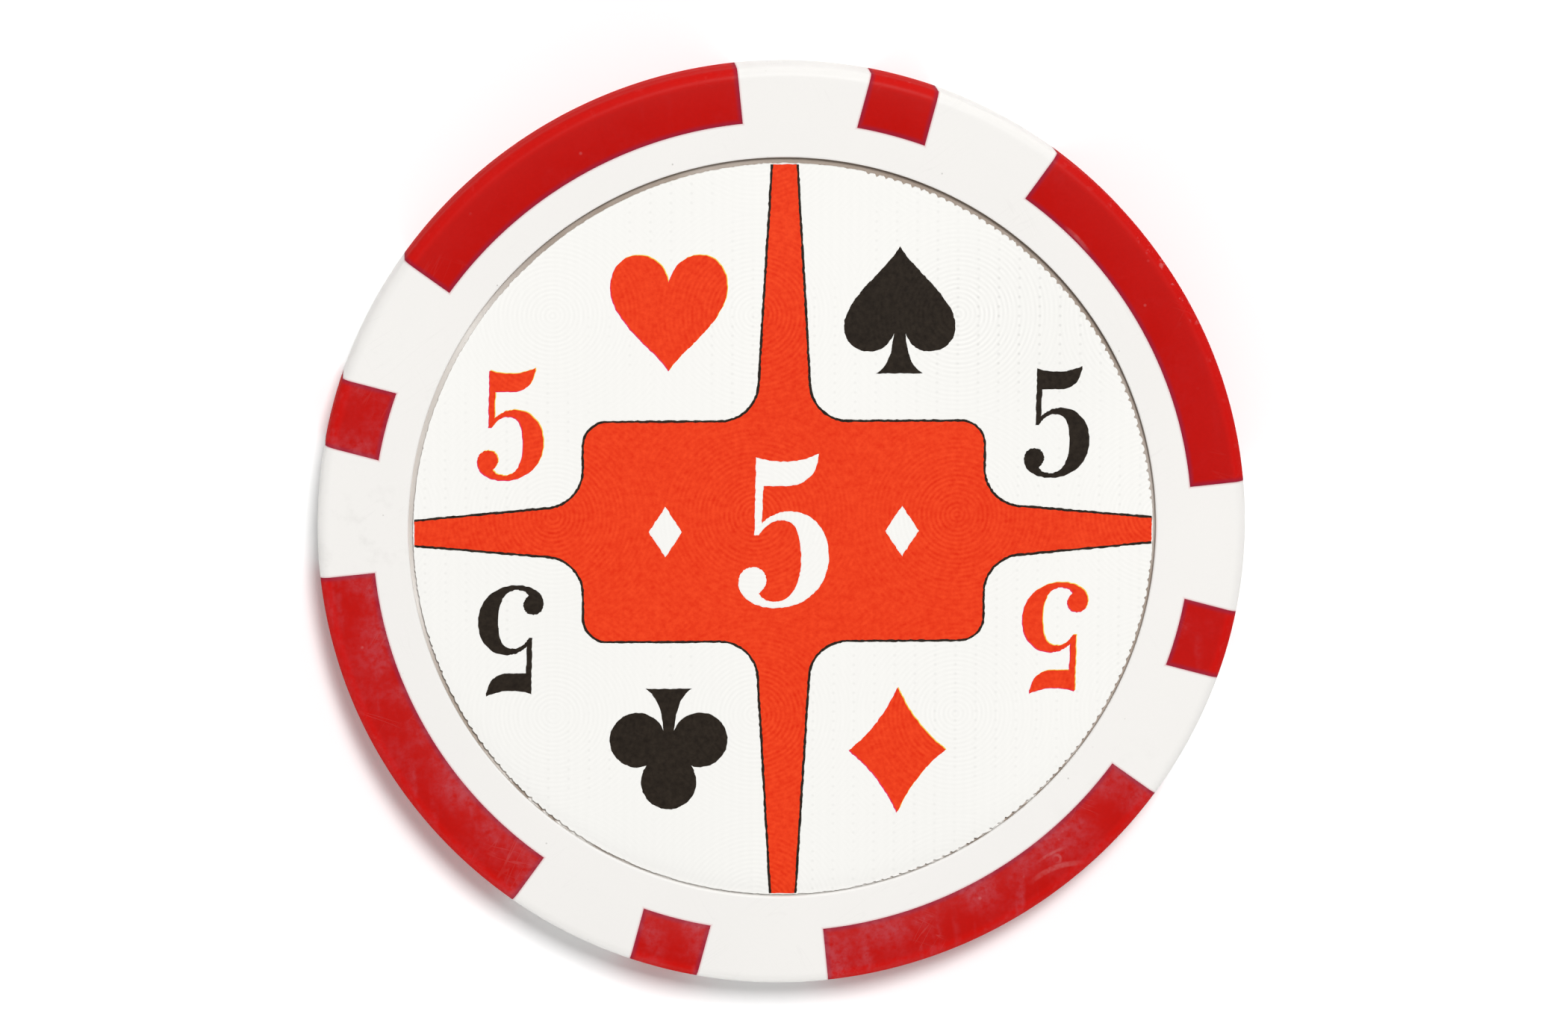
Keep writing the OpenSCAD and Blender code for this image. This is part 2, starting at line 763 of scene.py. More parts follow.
@dataclass(frozen=True)
class WhitePlastic(SpottedFinish):
    """White moulded plastic: cloudy, specked and scuffed, tinged red at the seams, with soil, dust and painted
    shade.
    """

    colour: Colour = (0.900, 0.880, 0.850)
    tinge: Colour = (0.72, 0.36, 0.38)
    dust_and_shade: Colour = (0.46, 0.375, 0.31)
    speck: Colour = (0.48, 0.46, 0.43)
    # Patches where the label recess is darkened with dust and painted shade.
    dust_and_shade_patches: Tuple[Patch, ...] = (
        Patch(8.0, 13.0, 30.0), Patch(-12.3, -10.0, 10.5), Patch(11.5, -11.0, 11.0),
        Patch(-7.5, 14.0, 11.0), Patch(15.5, -4.5, 9.0), Patch(-15.5, 3.0, 10.0, 0.5),
    )
    soiled: Tuple[Patch, ...] = (Patch(-18.4, -0.6, 4.5), Patch(15.0, -12.6, 4.0))

    def gap_dust_and_shade(self, sheet: NodeSheet) -> Num:
        """Find where the recess is darkened by dust and painted shade: on some stretches of its wall, in bits
        at the lower edge.

        Args:
            sheet: The sheet that it is worked out on.

        Returns:
            The dust and painted shade, from 0 to 1.
        """
        half_t, recess_r = self.chip.thick / 2, self.chip.recess_r
        depth = half_t - abs(sheet.z - half_t)
        wall = sheet.r.rise(recess_r + 0.05, recess_r) * depth.rise(0.05, 0.25)
        bits = sheet.noise(1.5, 2.0).rise(0.42, 0.56).high(sheet.y.rise(-13.0, -8.0))
        # Dust and painted shade in the recess: strongest in the patches, broken into bits towards the lower
        # edge.
        return wall * sheet.patches(self.dust_and_shade_patches) * bits

    def mixed(self, sheet: NodeSheet) -> Material:
        """Mix the finish.

        Args:
            sheet: An empty sheet.

        Returns:
            The material.
        """
        recess_r, rim = self.chip.recess_r, self.chip.radius
        cloud = sheet.noise(0.09, 3.0)
        grain = sheet.noise(9.0, 2.0, 0.6)
        scuff = sheet.hairs(35.0, 3.0, 0.012) * sheet.noise(0.22, 2.0).rise(0.52, 0.68)
        scuff = scuff.high(sheet.hairs(118.0, 11.0, 0.012) * sheet.noise(0.25, 2.0).rise(0.56, 0.7))
        specks = sheet.specks(0.85, 0.06) * sheet.noise(0.3, 1.0).rise(0.4, 0.55)
        soil = sheet.noise(0.7, 4.0, 0.65).rise(0.5, 0.72) * sheet.patches(self.soiled)
        # Painted shade: the rounded outer rim is made 1 to 2 per cent darker, unevenly, so that it doesn't clip
        # where the lamps fall on it.
        painted_rim_shade = sheet.r.rise(rim - 0.5, rim - 0.25) * (0.012 + 0.01 * sheet.noise(1.1, 3.0))
        level = 1.0 + (cloud - 0.5) * 0.05 + (grain - 0.5) * 0.02 - scuff * 0.03
        colour = sheet.tint(self.colour, level - painted_rim_shade)
        colour = sheet.mix(self.edge_distance(sheet).rise(-0.11, 0.03) * 0.75, colour, self.tinge)
        colour = sheet.mix(specks * 0.7 + soil * 0.16, colour, self.speck)
        # Colour of the dust and painted shade in the recess, darker towards the label's edge.
        dust_and_shade = sheet.tint(self.dust_and_shade, 1.0 - 0.2 * sheet.r.rise(recess_r, recess_r - 0.1))
        colour = sheet.mix(self.gap_dust_and_shade(sheet) * (0.8 + 0.3 * sheet.noise(0.7, 3.0)), colour, dust_and_shade)
        height = grain * 0.5 + sheet.noise(2.2, 2.0) * 0.5 - scuff * 0.35
        return sheet.shade(
            Base_Color=colour,
            Roughness=0.42 + (cloud - 0.5) * 0.12 + (grain - 0.5) * 0.08 + scuff * 0.14,
            Normal=sheet.bump(height, 0.004),
            IOR=PLASTIC_IOR,
            Specular_IOR_Level=0.18,
        )


@dataclass(frozen=True)
class RedPlastic(SpottedFinish):
    """Red moulded plastic: plum seam, rubbed milky haze and painted sheen, painted rim light and glints,
    scratches.
    """

    colour: Colour = (0.512, 0.0046, 0.0026)
    seam: Colour = (0.27, 0.016, 0.045)
    # Milky pink of rubbed plastic, also used for a painted sheen.
    milk_and_sheen: Colour = (0.50, 0.090, 0.112)
    pale: Colour = (0.66, 0.25, 0.25)
    # Painted highlight: where pale ticks gather on the upper right of the rim, standing for glints of the lamp.
    glint_patch: Patch = Patch(16.4, 10.9, 5.0, 0.9)
    scrapes: Tuple[Scratch, ...] = (
        Scratch(12.97, -17.88, 3.17, 0.16, Patch(11.9, -14.9, 1.5)),
        Scratch(13.59, -17.88, 4.07, 0.09, Patch(11.7, -14.3, 0.85)),
        Scratch(11.91, -14.54, 0.19, 0.09, Patch(12.05, -14.45, 0.4)),
        Scratch(9.5, 9.6, 4.3, 0.12, Patch(12.6, 12.55, 0.9)),
    )

    def mixed(self, sheet: NodeSheet) -> Material:
        """Mix the finish.

        Args:
            sheet: An empty sheet.

        Returns:
            The material.
        """
        rim, edge = self.chip.radius, self.edge_distance(sheet)
        cloud = sheet.noise(0.35, 4.0, 0.6)
        grain = sheet.noise(7.0, 2.0, 0.6)
        fleck = sheet.noise(3.0, 3.0, 0.65)
        # Stronger towards the lower left, where the milky haze is partly a painted sheen; the hairlines are
        # also paler there.
        lower = (sheet.x * -0.35 - sheet.y).rise(-8.0, 12.0)
        patch = sheet.noise(0.5, 5.0, 0.6).rise(0.36, 0.68) * fleck.rise(0.22, 0.7)
        streak = sheet.noise(1.0, 2.0, 0.5, sheet.stretched(96.0, 0.25, 1.3, 4.0)).rise(0.5, 0.75)
        # Milky haze: rubbed plastic near the inner edges, and partly a painted sheen towards the lower left.
        milk_and_sheen = (patch * (0.25 + 0.75 * edge.rise(1.7, 0.15))).high(streak * fleck.rise(0.25, 0.7) * 0.7)
        milk_and_sheen = milk_and_sheen * (0.07 + 0.93 * lower)
        hair = sheet.hairs(62.0, 17.0, 0.01).high(sheet.hairs(-20.0, 29.0, 0.01))
        hair = hair * sheet.noise(0.4, 2.0).rise(0.54, 0.68)
        dings = sheet.specks(1.1, 0.1) * sheet.noise(0.5, 1.0).rise(0.48, 0.62)
        # Painted light: the red of the rounded rim is up to 16 per cent brighter, as where side light falls on
        # it.
        painted_rim_light = sheet.r.rise(rim - 0.62, rim - 0.32)
        worn = sheet.r.rise(rim - 0.3, rim - 0.05)
        # Pale nicks round the rim: sparse everywhere, and gathered in the glint patch as a painted highlight.
        nicks_and_glints = sheet.noise(2.4, 3.0, 0.6).rise(0.58, 0.7) * sheet.r.rise(rim - 0.45, rim - 0.3)
        nicks_and_glints = nicks_and_glints * (0.1 + sheet.patch(self.glint_patch))
        scrape = reduce(Num.high, [sheet.scratch(mark) for mark in self.scrapes]) * fleck.rise(0.2, 0.6)
        level = 1.0 + (cloud - 0.5) * 0.12 + (grain - 0.5) * 0.14 + painted_rim_light * 0.16
        colour = sheet.mix(edge.rise(0.27, 0.0) * 0.8, sheet.tint(self.colour, level), self.seam)
        colour = sheet.mix(milk_and_sheen * 0.68, colour, self.milk_and_sheen)
        colour = sheet.mix(hair * 0.08 * (0.3 + lower) + dings * 0.25, colour, self.pale)
        colour = sheet.mix(nicks_and_glints * 0.34 + scrape * 0.23, colour, self.pale)
        height = grain * 0.45 + sheet.noise(2.0, 2.0) * 0.55 - hair * 0.4 - dings * 0.6
        return sheet.shade(
            Base_Color=colour,
            Roughness=0.45 + (cloud - 0.5) * 0.14 + milk_and_sheen * 0.2 + hair * 0.1 + scrape * 0.15 + worn * 0.4,
            Normal=sheet.bump(height, 0.005),
            IOR=PLASTIC_IOR,
            Specular_IOR_Level=0.09,
        )


@dataclass(frozen=True)
class PrintedFilm(Finish):
    """White film with a faint pressed pattern of rings, fine lines and columns of dots."""

    colour: Colour = (0.945, 0.936, 0.902)
    lattice: float = 8.7
    lattice_at: Point = (1.2, -0.6)
    ring_pitch: float = 0.2
    line_pitch: float = 0.42
    dot_pitch: Point = (0.88, 0.41)
    dot_r: float = 0.09
    clear: Patch = Patch(10.5, 9.0, 6.5)

    def rings(self, sheet: NodeSheet) -> Num:
        """The pressed rings about centres on a square lattice: broken arcs that fade away from each centre.

        Args:
            sheet: The sheet that they are drawn on.

        Returns:
            Height of the rings, from -0.5 to 0.5.
        """
        u, v = (axis.cell(self.lattice, at) for axis, at in zip((sheet.x, sheet.y), self.lattice_at))
        far = u.hypot(v)
        wave = ((far + sheet.noise(0.9, 2.0) * 0.05) * (2 * math.pi / self.ring_pitch)).sin() * 0.5
        broken = 0.35 + 0.65 * sheet.noise(1.3, 2.0, 0.6).rise(0.38, 0.62)
        return wave * broken * (0.3 + 0.7 * far.rise(5.0, 0.6))

    def dots(self, sheet: NodeSheet) -> Num:
        """The columns of dots, each at the middle of its cell, which show here and there.

        Args:
            sheet: The sheet that they are drawn on.

        Returns:
            The dots.
        """
        u, v = (axis.cell(p, -p / 2) for axis, p in zip((sheet.x, sheet.y), self.dot_pitch))
        shown = sheet.noise(0.16, 2.0).rise(0.46, 0.62).high(sheet.patch(self.clear))
        return u.hypot(v).rise(self.dot_r, self.dot_r / 3) * shown

    def mixed(self, sheet: NodeSheet) -> Material:
        """Mix the finish.

        Args:
            sheet: An empty sheet.

        Returns:
            The material.
        """
        rings = self.rings(sheet)
        lines = (sheet.x * (2 * math.pi / self.line_pitch)).sin() * 0.5 + 0.5
        clear = sheet.patch(self.clear)
        cloud = sheet.noise(0.12, 3.0)
        grain = sheet.noise(8.0, 2.0, 0.6)
        pressed = rings * (0.05 + 0.07 * clear) - self.dots(sheet) * (0.06 + 0.07 * clear) - clear * 0.012
        level = 1.0 + pressed + (lines - 0.5) * 0.008 + (cloud - 0.5) * 0.03 + (grain - 0.5) * 0.015
        return sheet.shade(
            Base_Color=sheet.tint(self.colour, level),
            Roughness=0.34 + (cloud - 0.5) * 0.1 + rings * 0.06,
            Normal=sheet.bump(rings * 0.7 + lines * 0.3, 0.0015),
            IOR=PLASTIC_IOR,
            Specular_IOR_Level=0.3,
        )


@dataclass(frozen=True)
class PrintInk(PrintedFilm):
    """A printed ink with a mottled grain, through which the film's rings show."""

    colour: Colour = (0.92, 0.064, 0.013)
    deep: Colour = (0.76, 0.024, 0.003)
    relief: float = 0.55
    mottle: float = 1.98

    def mixed(self, sheet: NodeSheet) -> Material:
        """Mix the finish.

        Args:
            sheet: An empty sheet.

        Returns:
            The material.
        """
        rings = self.rings(sheet)
        grain = sheet.noise(4.2, 4.0, 0.7)
        cloud = sheet.noise(0.2, 3.0)
        pits = sheet.specks(1.0, 0.13) * sheet.noise(0.4, 1.0).rise(0.46, 0.6)
        dark = 0.42 + (0.5 - grain) * self.mottle + (cloud - 0.5) * 0.3 - rings * self.relief + pits * 0.35
        return sheet.shade(
            Base_Color=sheet.mix(dark, self.colour, self.deep),
            Roughness=0.42 + (grain - 0.5) * 0.16 + rings * 0.06,
            Normal=sheet.bump(rings * 0.6 + grain * 0.4, 0.002),
            IOR=PLASTIC_IOR,
            Specular_IOR_Level=0.12,
        )


@dataclass(frozen=True)
class RolledSteel(Finish):
    """Plain rolled steel of the weight, with a drawn grain and a few rust freckles."""

    colour: Colour = (0.42, 0.41, 0.40)
    rusty: Colour = (0.16, 0.06, 0.025)

    def mixed(self, sheet: NodeSheet) -> Material:
        """Mix the finish.

        Args:
            sheet: An empty sheet.

        Returns:
            The material.
        """
        drawn = sheet.noise(1.0, 3.0, 0.6, sheet.stretched(12.0, 0.2, 6.0))
        rust = sheet.specks(0.5, 0.35) * sheet.noise(0.3, 2.0).rise(0.5, 0.65)
        return sheet.shade(
            Base_Color=sheet.mix(rust * 0.6, sheet.tint(self.colour, 0.8 + drawn * 0.4), self.rusty),
            Roughness=0.28 + drawn * 0.2 + rust * 0.3,
            Metallic=1.0 - rust,
            Normal=sheet.bump(drawn, 0.003),
        )


@dataclass(frozen=True)
class ClearAdhesive(Finish):
    """Pressure-sensitive adhesive: pale amber, with a slight orange peel."""

    colour: Colour = (0.70, 0.60, 0.42)

    def mixed(self, sheet: NodeSheet) -> Material:
        """Mix the finish.

        Args:
            sheet: An empty sheet.

        Returns:
            The material.
        """
        peel = sheet.noise(1.4, 3.0)
        colour = sheet.tint(self.colour, 0.9 + peel * 0.2)
        rough, normal = 0.22 + peel * 0.2, sheet.bump(peel, 0.01)
        return sheet.shade(Base_Color=colour, Roughness=rough, Normal=normal, IOR=1.47)


class Outline:
    """Closed outlines in a plane, as lists of points.

    A stroke is the end of a line, or two handles and the end of a curve; the first one is the start.
    """

    curve_steps = 14
    corner_steps = 12
    print_step = 0.13
    tiny = 1e-6
    figure_mid: Point = (0.32, 0.5)
    figure: Strokes = (
        (0.135, 1.0), (0.27, 0.955, 0.42, 0.955, 0.55, 1.02), (0.545, 0.88, 0.46, 0.805, 0.33, 0.805),
        (0.185, 0.805), (0.175, 0.555), (0.22, 0.605, 0.285, 0.635, 0.355, 0.635),
        (0.52, 0.635, 0.62, 0.50, 0.62, 0.33), (0.62, 0.13, 0.47, -0.015, 0.27, -0.015),
        (0.12, -0.015, 0.02, 0.06, 0.02, 0.16), (0.02, 0.22, 0.06, 0.262, 0.115, 0.262),
        (0.165, 0.262, 0.205, 0.225, 0.205, 0.172), (0.205, 0.135, 0.185, 0.11, 0.155, 0.085),
        (0.175, 0.05, 0.215, 0.03, 0.26, 0.03), (0.38, 0.03, 0.435, 0.15, 0.435, 0.32),
        (0.435, 0.50, 0.395, 0.575, 0.305, 0.575), (0.245, 0.575, 0.185, 0.535, 0.155, 0.475),
        (0.125, 0.475), (0.135, 1.0),
    )
    halves: Dict[Pip, Strokes] = {
        Pip.HEART: (
            (0.0, -0.52), (0.08, -0.36, 0.50, -0.10, 0.50, 0.20), (0.50, 0.37, 0.40, 0.48, 0.26, 0.48),
            (0.13, 0.48, 0.03, 0.38, 0.0, 0.24),
        ),
        Pip.DIAMOND: (
            (0.0, -0.55), (0.10, -0.32, 0.26, -0.12, 0.42, 0.0), (0.26, 0.12, 0.10, 0.32, 0.0, 0.55),
        ),
        Pip.SPADE: (
            (0.0, 0.55), (0.10, 0.36, 0.48, 0.10, 0.48, -0.14), (0.48, -0.28, 0.38, -0.36, 0.25, -0.36),
            (0.15, -0.36, 0.08, -0.29, 0.05, -0.20), (0.06, -0.38, 0.11, -0.50, 0.20, -0.55),
        ),
    }
    club_lobes = (((0.0, 0.27), 0.24, 90.0, -36.5, 24), ((0.27, -0.10), 0.24, 108.7, -160.0, 40))
    club_foot = (0.055, -0.36, 0.11, -0.50, 0.20, -0.55)

    @classmethod
    def drawn(cls, strokes: Strokes) -> Shape:
        """Follow straight lines and curves.

        Args:
            strokes: The strokes.

        Returns:
            The points.
        """
        points = [strokes[0]]
        for stroke in strokes[1:]:
            if len(stroke) == 2:
                points.append(stroke)
                continue
            ends = (*points[-1], *stroke)
            for i in range(1, cls.curve_steps + 1):
                t = i / cls.curve_steps
                w = ((1 - t) ** 3, 3 * t * (1 - t) ** 2, 3 * t * t * (1 - t), t ** 3)
                points.append(tuple(sum(a * b for a, b in zip(w, ends[k::2])) for k in (0, 1)))
        if math.dist(points[0], points[-1]) < cls.tiny:
            points.pop()
        return points

    @staticmethod
    def arc(centre: Point, radius: float, start: float, end: float, steps: int) -> Shape:
        """Points on an arc between two angles in degrees, with a number of chords."""
        angles = [math.radians(start + (end - start) * i / steps) for i in range(steps + 1)]
        return [(centre[0] + radius * math.cos(a), centre[1] + radius * math.sin(a)) for a in angles]

    @classmethod
    def mirrored(cls, half: Shape) -> Shape:
        """Close a right half with its mirror image; both of its ends may lie on the axis."""
        return list(half) + [(-x, y) for x, y in reversed(half) if abs(x) > cls.tiny]

    @classmethod
    def rounded(cls, corners: Sequence[Triple]) -> Shape:
        """Round the corners of a polygon.

        Args:
            corners: Each corner and its radius.

        Returns:
            The points.
        """
        points: Shape = []
        for i, (x, y, radius) in enumerate(corners):
            p = Vector((x, y))
            if radius <= 0:
                points.append((x, y))
                continue
            back = (Vector(corners[i - 1][:2]) - p).normalized()
            ahead = (Vector(corners[(i + 1) % len(corners)][:2]) - p).normalized()
            half = back.angle(ahead) / 2
            centre = p + (back + ahead).normalized() * (radius / math.sin(half))
            first = p + back * (radius / math.tan(half)) - centre
            last = p + ahead * (radius / math.tan(half)) - centre
            sweep = first.angle_signed(last)
            for k in range(cls.corner_steps + 1):
                turned = first.copy()
                turned.rotate(Matrix.Rotation(-sweep * k / cls.corner_steps, 2))
                points.append(tuple(centre + turned))
        return points

    @staticmethod
    def placed(points: Shape, size: float, x: float, y: float, turn: float = 0.0) -> Shape:
        """Scale an outline, turn it by an angle in degrees and bring its origin to a place."""
        c, s = math.cos(math.radians(turn)) * size, math.sin(math.radians(turn)) * size
        return [(x + c * a - s * b, y + s * a + c * b) for a, b in points]

    @classmethod
    def printed(cls, points: Shape, amount: float, seed: int) -> Shape:
        """Give an outline the slightly rough edge of print.

        Args:
            points: The outline.
            amount: How far a point may stray.
            seed: Seed of the roughness.

        Returns:
            The points.
        """
        rng = random.Random(seed)
        made: Shape = []
        for a, b in zip(points, [*points[1:], points[0]]):
            span = math.dist(a, b)
            if span < cls.tiny:
                continue
            count = max(1, round(span / cls.print_step))
            nx, ny = (b[1] - a[1]) / span, (a[0] - b[0]) / span
            for i in range(count):
                stray = rng.uniform(-amount, amount)
                t = i / count
                made.append((a[0] + (b[0] - a[0]) * t + nx * stray, a[1] + (b[1] - a[1]) * t + ny * stray))
        return made

    @classmethod
    def five(cls) -> Shape:
        """A plain figure 5, one unit tall and centred."""
        return [(x - cls.figure_mid[0], y - cls.figure_mid[1]) for x, y in cls.drawn(cls.figure)]

    @classmethod
    def pip(cls, pip: Pip) -> Shape:
        """A suit's figure, about one unit tall and centred.

        Args:
            pip: The suit.

        Returns:
            The points.
        """
        if pip is Pip.CLUB:
            top, side = (cls.arc(*lobe) for lobe in cls.club_lobes)
            half = top + side[1:] + cls.drawn((side[-1], cls.club_foot))[1:]
        else:
            half = cls.drawn(cls.halves[pip])
        return cls.mirrored(half)


@dataclass
class WhiteMoulding:
    """The white first shot: a disc with a label recess in each face and pockets for the inserts."""

    chip: ChipSizes
    lip_r: float = 0.1
    hem: float = 0.06
    core_edge_r: float = 0.2
    pin_r: float = 1.2
    pin_ring: float = 9.0
    pin_count: int = 3
    pin_over: float = 0.5
    lip_steps: int = 5
    core_sides: int = 120
    core_steps: int = 4
    pin_sides: int = 32

    def blank(self) -> Bench:
        """Turn the disc with its rounded edges and its two recesses.

        Returns:
            The disc.
        """
        chip = self.chip
        disc = Bench.cylinder("white_moulding", chip.radius, *chip.faces, chip.sides)
        disc.parting_line(chip)
        disc.round_rings(chip.radius, chip.faces, chip.edge_r, chip.edge_steps)
        ring_w = chip.radius - chip.edge_r - chip.recess_r
        for height, inward in zip(chip.faces, (1.0, -1.0)):
            sunk = {"value": (0, 0, inward * chip.recess_depth)}
            with disc.editing("FACE"):
                disc.pick("faces", lambda f: len(f.verts) == chip.sides and self.level(f, height))
                bpy.ops.mesh.inset(thickness=self.hem, use_even_offset=True)
                bpy.ops.mesh.inset(thickness=ring_w - self.hem, use_even_offset=True)
                bpy.ops.mesh.extrude_region_move(TRANSFORM_OT_translate=sunk)
        disc.round_rings(chip.recess_r, chip.faces, self.lip_r, self.lip_steps)
        return disc

    @staticmethod
    def level(face: Any, height: float) -> bool:
        """Say whether a face is at a height."""
        return abs(face.calc_center_median().z - height) < Bench.slack

    def hollow(self) -> Bench:
        """Shape the room that the weight leaves.

        Returns:
            The shape to cut.
        """
        chip = self.chip
        ends = chip.core_low, chip.thick - chip.core_low
        core = Bench.cylinder("room", chip.core_r, *ends, self.core_sides)
        core.round_rings(chip.core_r, ends, self.core_edge_r, self.core_steps)
        return core

    def pins(self) -> Bench:
        """Shape the holes of the pins that held the weight in the mould.

        Returns:
            The shape to cut.
        """
        made, low, high = [], -self.pin_over, self.chip.thick + self.pin_over
        for i in range(self.pin_count):
            pin = Bench.cylinder("pin", self.pin_r, low, high, self.pin_sides)
            made.append(pin.slide(self.pin_ring, 0.0).turn(i * 360 / self.pin_count))
        return made[0].join(made[1:])

    def build(self, pockets: Bench) -> Object:
        """Make the whole moulding.

        Args:
            pockets: The shape of the inserts' pockets, which is used up.

        Returns:
            The finished piece.
        """
        disc = self.blank()
        for cutter in (self.hollow(), self.pins(), pockets):
            disc.cut(cutter)
        disc.close()
        return disc.finish("body_moulding", "white_plastic", WhitePlastic("moulded_white", self.chip))


@dataclass
class EdgeInserts:
    """The red second shot: four long and four short inserts that wrap the tongue in the rim."""

    chip: ChipSizes
    rim_skin: float = 0.9
    face_skin: float = 0.9
    tongue_edge_r: float = 0.2
    seam: float = 0.025
    seam_deg: float = 50.0
    seam_steps: int = 2
    tongue_steps: int = 4
    long_steps: int = 60
    short_steps: int = 16
    short_sweep: float = 14.0
    pocket_over: float = 0.6

    def tongue(self) -> Bench:
        """Shape the disc that the inserts wrap.

        Returns:
            The shape to cut.
        """
        radius = self.chip.radius - self.rim_skin
        ends = self.face_skin, self.chip.thick - self.face_skin
        disc = Bench.cylinder("tongue", radius, *ends, self.chip.sides)
        disc.round_rings(radius, ends, self.tongue_edge_r, self.tongue_steps)
        return disc

    def block(self, spot: Spot, over: float) -> Bench:
        """Sweep a spot's section round the axis, about +X, and let the tongue into it.

        Args:
            spot: Which kind of spot.
            over: How far it stands out past the chip, for a cutting shape.

        Returns:
            The swept block.
        """
        chip = self.chip
        bar = Bench.section(spot.value, chip.spot_r, chip.radius + over, -over, chip.thick + over)
        span, steps = self.short_sweep, self.short_steps
        if spot is Spot.LONG:
            span, steps = chip.long_deg, self.long_steps
        if over == 0:
            with bar.editing("VERT"):
                bar.pick("verts", lambda v: v.co.x > chip.radius - bar.slack)
                bpy.ops.mesh.bevel(
                    offset=chip.edge_r, segments=chip.edge_steps, profile=ROUND, affect="VERTICES"
                )
            bar.parting_line(chip)
        with bar.editing("VERT", "SELECT"):
            bpy.ops.mesh.spin(steps=steps, angle=math.radians(span), center=(0, 0, 0), axis=(0, 0, 1))
        bar.close()
        first = min(math.degrees(math.atan2(v.co.y, v.co.x)) for v in bar.obj.data.vertices)
        bar.turn(-span / 2 - first)
        if spot is Spot.SHORT:
            self.trim(bar)
        bar.cut(self.tongue())
        return bar

    def trim(self, bar: Bench) -> None:
        """Cut a short spot's ends parallel.

        Args:
            bar: The swept block.
        """
        for way in (1, -1):
            side = {"plane_co": (0, way * self.chip.short_w / 2, 0), "plane_no": (0, way, 0)}
            with bar.editing("VERT", "SELECT"):
                bpy.ops.mesh.bisect(**side, use_fill=True, clear_outer=True)
        bar.close()

    def angles(self, spot: Spot) -> List[float]:
        """Directions of the middles of a kind of spot, in degrees."""
        start = self.chip.first_deg + (0.0 if spot is Spot.LONG else self.chip.pitch_deg / 2)
        return [start + i * self.chip.pitch_deg for i in range(self.chip.spot_count)]

    def pockets(self) -> Bench:
        """Shape all the pockets that the inserts fill.

        Returns:
            The shape to cut.
        """
        made = []
        for spot in Spot:
            block = self.block(spot, self.pocket_over)
            made += [block.copy("pocket").turn(angle) for angle in self.angles(spot)]
            block.scrap()
        return made[0].join(made[1:])

    def build(self) -> List[Object]:
        """Make the eight inserts.

        Returns:
            The finished pieces.
        """
        made, finish = [], RedPlastic("moulded_red", self.chip)
        chamfer = {"limit_method": "ANGLE", "angle_limit": math.radians(self.seam_deg)}
        for spot in Spot:
            block = self.block(spot, 0.0)
            block.apply("BEVEL", width=self.seam, segments=self.seam_steps, profile=ROUND, **chamfer)
            block.close()
            for i, angle in enumerate(self.angles(spot), 1):
                node = f"{spot.value}_{i}"
                made.append(block.copy(f"red_{node}").turn(angle).finish(node, "red_plastic", finish))
            block.scrap()
        return made


